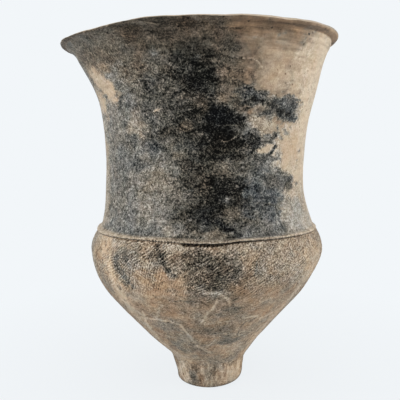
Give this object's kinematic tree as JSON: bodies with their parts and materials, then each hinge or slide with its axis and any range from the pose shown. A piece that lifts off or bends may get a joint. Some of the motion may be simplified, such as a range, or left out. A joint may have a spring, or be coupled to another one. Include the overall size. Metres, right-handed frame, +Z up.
{
  "type": "pottery vase",
  "caption": "Hand-built earthenware vase: small solid foot, conical body, cord-marked shoulder, cordon over the seam, waisted neck and rolled flaring rim; holds liquid, grain or stems.",
  "frame": {"origin": "centre of the foot's flat resting face", "axes": "+Z up from the foot to the mouth, +X to the right of a viewer at -Y, who sees the side shown in the picture"},
  "size_m": [0.2382, 0.2372, 0.3071],
  "materials": {
    "burnished_clay": "burnished, smoke-clouded from grey to black",
    "cordon_clay": "worn pale edge, matte",
    "cord_marked_clay": "matte, cord-marked",
    "foot_clay": "matte, rubbed",
    "inner_clay": "matte, smeared"
  },
  "bodies": {
    "root": {"foot_stub": "foot_clay", "base_cup": "foot_clay", "cone_course_lower": "cord_marked_clay", "cone_course_upper": "cord_marked_clay", "belly_course": "cord_marked_clay", "shoulder_course": "cord_marked_clay", "neck_cordon": "cordon_clay", "inner_lute": "inner_clay", "neck_course_lower": "burnished_clay", "neck_course_middle": "burnished_clay", "neck_course_upper": "burnished_clay", "mouth_course": "burnished_clay", "rim_roll": "burnished_clay"}
  },
  "joints": []
}
